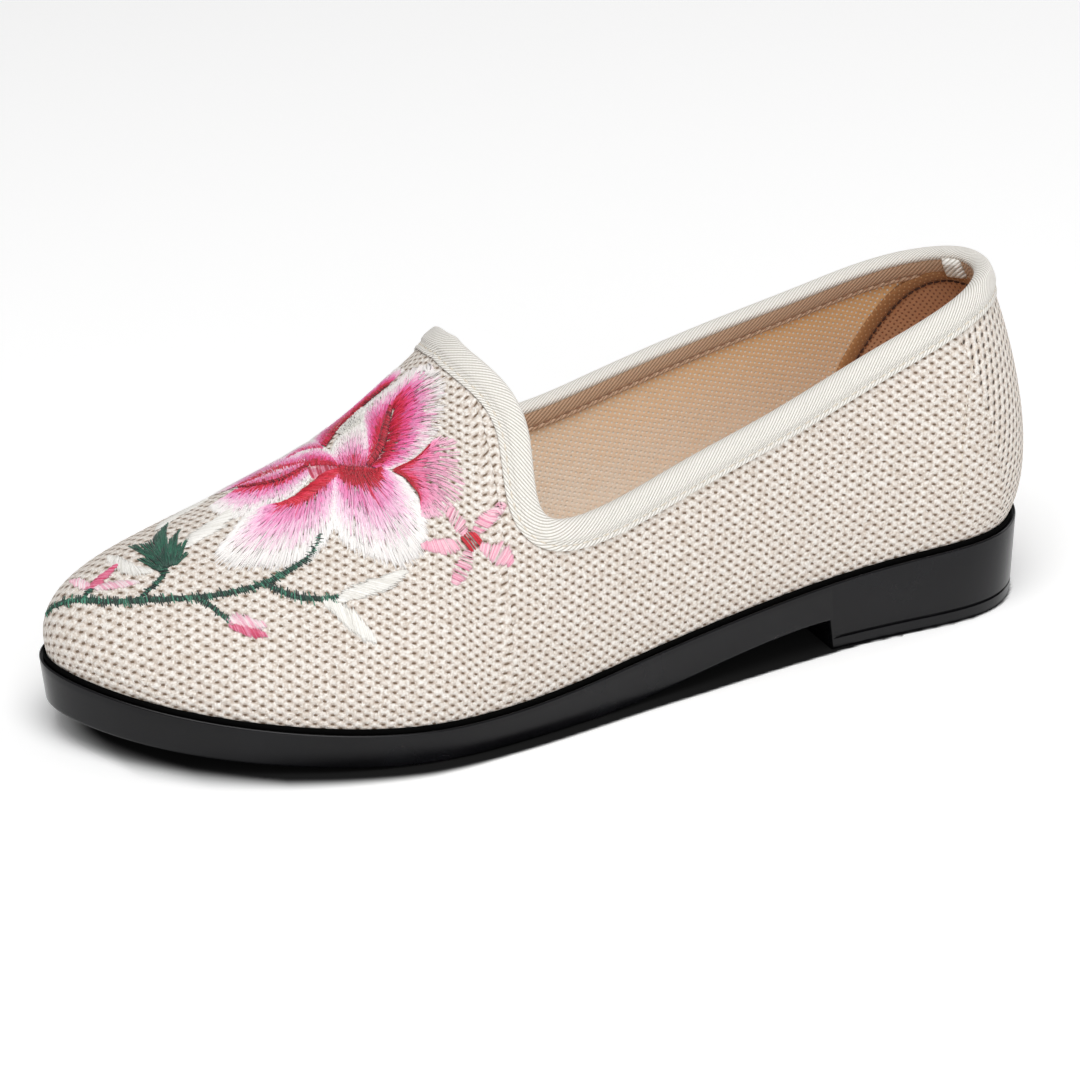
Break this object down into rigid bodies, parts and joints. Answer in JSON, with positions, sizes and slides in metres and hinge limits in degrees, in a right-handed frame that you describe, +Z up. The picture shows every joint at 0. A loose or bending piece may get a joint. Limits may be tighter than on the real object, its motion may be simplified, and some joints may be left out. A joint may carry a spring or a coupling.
{
  "type": "cloth shoe",
  "caption": "Left slip-on cloth shoe: a hollow knitted upper with a bound collar, a footbed and a moulded rubber sole with a low heel.",
  "frame": {"origin": "on the floor plane, under the middle of the shoe's bounding box", "axes": "+X from the heel to the toe, +Y to the outer side of the left foot, +Z up"},
  "size_m": [0.249, 0.0872, 0.0836],
  "materials": {
    "rubber_black": "glossy moulded rubber",
    "footbed_tan": "plain cloth over foam",
    "knit_cream": "knitted mesh with small holes",
    "twill_white": "ribbed tape"
  },
  "bodies": {
    "root": {"outsole": "rubber_black", "insole": "footbed_tan", "upper": "knit_cream", "collar_binding": "twill_white"}
  },
  "joints": []
}
